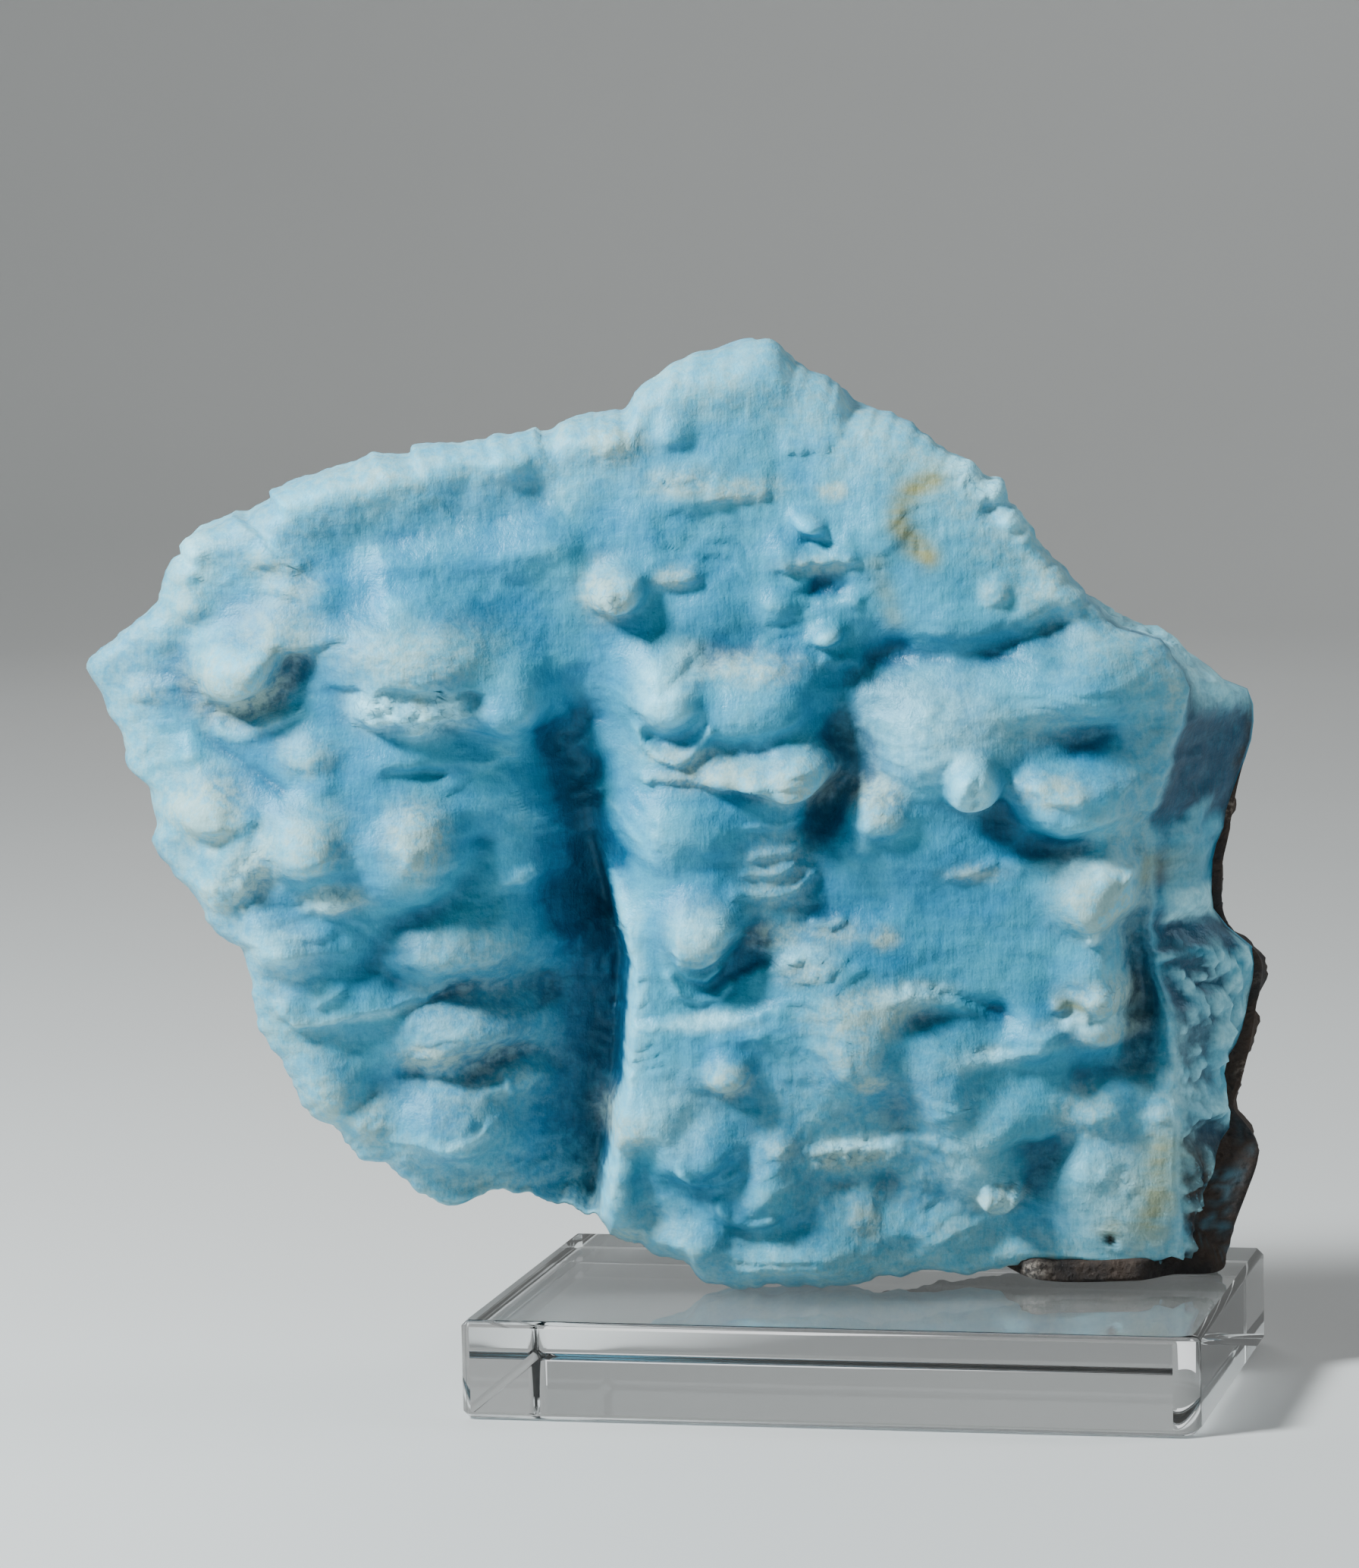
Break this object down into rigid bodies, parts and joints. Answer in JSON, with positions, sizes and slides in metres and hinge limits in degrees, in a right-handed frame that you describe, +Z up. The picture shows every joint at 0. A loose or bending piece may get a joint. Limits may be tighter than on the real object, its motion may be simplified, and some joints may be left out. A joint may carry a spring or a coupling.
{
  "type": "raw aragonite specimen on a display block",
  "caption": "Slab of lumpy blue aragonite crust on its brown rock backing, standing on a clear rectangular display block.",
  "frame": {"origin": "centre of the display block's underside, on the surface that it stands on", "axes": "+Z up, +X along the block's long side to the viewer's right, -Y towards the viewer; the stone's slab is turned 12.57 degrees about +Z from the block"},
  "size_m": [0.2339, 0.1, 0.2151],
  "materials": {
    "aragonite": "satin",
    "host_rock": "matte",
    "clear_acrylic": "polished"
  },
  "bodies": {
    "root": {"aragonite_crust": "aragonite", "host_rock": "host_rock", "display_block": "clear_acrylic"}
  },
  "joints": []
}
